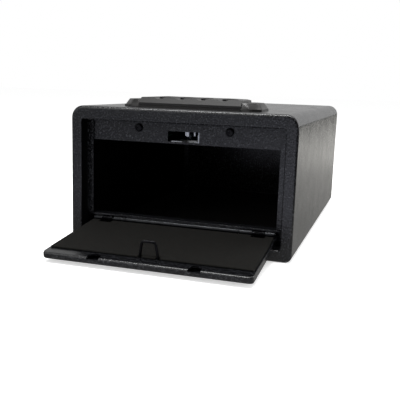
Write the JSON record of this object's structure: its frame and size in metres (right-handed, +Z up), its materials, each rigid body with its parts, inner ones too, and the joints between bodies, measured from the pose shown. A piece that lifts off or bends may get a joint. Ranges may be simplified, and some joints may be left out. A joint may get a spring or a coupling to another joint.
{
  "type": "keypad drawer safe",
  "caption": "Low steel safe with a drop-down front door on a bottom hinge, a wire striker on the door, a header-mounted latch and a finger-channel keypad on its top.",
  "frame": {"origin": "centre of the case's underside", "axes": "+X to the right seen from the front, +Y from the door to the rear panel, +Z up"},
  "size_m": [0.205, 0.3967, 0.1332],
  "materials": {
    "powder": "textured black powder coat",
    "plastic": "fine matt moulded texture",
    "rubber": "matt",
    "foam": "short felted nap",
    "zinc": "bright zinc plate",
    "black_oxide": "satin black oxide",
    "spring_wire": "drawn wire",
    "copper": "lacquered winding wire",
    "board": "solder mask",
    "cell": "plain sleeve",
    "wire": "satin insulation",
    "chrome": "polished",
    "lens": "gloss"
  },
  "bodies": {
    "safe_case": {"outer_case": "powder", "rear_panel": "powder", "jamb_frame": "powder", "hinge_sill": "powder", "floor_pad": "foam", "body_hinge_leaf": "zinc", "hinge_pin": "zinc", "door_spring_left": "spring_wire", "door_spring_right": "spring_wire", "lock_housing": "powder", "header_screw_left": "black_oxide", "header_screw_right": "black_oxide", "header_bracket": "zinc", "latch_chassis": "zinc", "latch_screw_1": "black_oxide", "latch_screw_2": "black_oxide", "latch_pivot_pin": "zinc", "latch_spring": "spring_wire", "solenoid_frame": "zinc", "solenoid_coil": "copper", "override_lock_body": "chrome", "override_lock_nut": "zinc", "shaft_guide": "zinc", "battery_tray": "plastic", "battery_cell_1": "cell", "battery_cell_2": "cell", "battery_cell_3": "cell", "battery_cell_4": "cell", "battery_contact_front": "spring_wire", "battery_contact_rear": "spring_wire", "battery_cover": "plastic", "battery_cover_screw": "black_oxide", "control_board": "board", "board_screw_front": "black_oxide", "board_screw_rear": "black_oxide", "battery_lead": "wire", "solenoid_lead": "wire", "ribbon_cable": "wire", "keypad_base": "plastic", "keypad_cover": "plastic", "keypad_board": "board", "keypad_screw_1": "black_oxide", "keypad_screw_2": "black_oxide", "keypad_screw_3": "black_oxide", "keypad_screw_4": "black_oxide", "status_led": "lens"},
    "door": {"door_pan": "powder", "door_liner": "foam", "door_hinge_leaf": "zinc", "striker_loop": "black_oxide"},
    "hook": {"latch_hook": "zinc"},
    "plunger": {"solenoid_plunger": "zinc", "plunger_link": "zinc"},
    "key_override": {"override_lock_plug": "chrome", "override_shaft": "zinc", "override_finger": "zinc"},
    "key_1_body": {"key_1": "rubber"},
    "key_2_body": {"key_2": "rubber"},
    "key_3_body": {"key_3": "rubber"},
    "key_4_body": {"key_4": "rubber"}
  },
  "joints": [
    {"name": "door_hinge", "type": "hinge", "parent": "safe_case", "child": "door", "pos_m": [0, -0.1465, 0.02], "axis": [-1, 0, 0], "range_deg": [0, 96], "stiffness_Nm_per_rad": 0.02, "springref_deg": -17.19, "deforming": ["door_spring_left", "door_spring_right"]},
    {"name": "hook_pivot", "type": "hinge", "parent": "safe_case", "child": "hook", "pos_m": [0.003, -0.116, 0.103], "axis": [-1, 0, 0], "range_deg": [0, 14], "stiffness_Nm_per_rad": 0.02, "springref_deg": -11.46, "deforming": ["latch_spring"]},
    {"name": "plunger_slide", "type": "slide", "parent": "safe_case", "child": "plunger", "axis": [0, 1, 0], "range_m": [0, 0.0029]},
    {"name": "override_turn", "type": "hinge", "parent": "safe_case", "child": "key_override", "pos_m": [-0.0035, 0.156, 0.106], "axis": [0, 1, 0], "range_deg": [0, 90]},
    {"name": "key_1_press", "type": "slide", "parent": "safe_case", "child": "key_1_body", "axis": [0, 0, -1], "range_m": [0, 0.0012], "stiffness_N_per_m": 300, "springref_m": -0.0004},
    {"name": "key_2_press", "type": "slide", "parent": "safe_case", "child": "key_2_body", "axis": [0, 0, -1], "range_m": [0, 0.0012], "stiffness_N_per_m": 300, "springref_m": -0.0004},
    {"name": "key_3_press", "type": "slide", "parent": "safe_case", "child": "key_3_body", "axis": [0, 0, -1], "range_m": [0, 0.0012], "stiffness_N_per_m": 300, "springref_m": -0.0004},
    {"name": "key_4_press", "type": "slide", "parent": "safe_case", "child": "key_4_body", "axis": [0, 0, -1], "range_m": [0, 0.0012], "stiffness_N_per_m": 300, "springref_m": -0.0004}
  ],
  "couplings": [
    {"joint": "hook_pivot", "follows": "plunger_slide", "rad_per_m": 83.333}
  ]
}
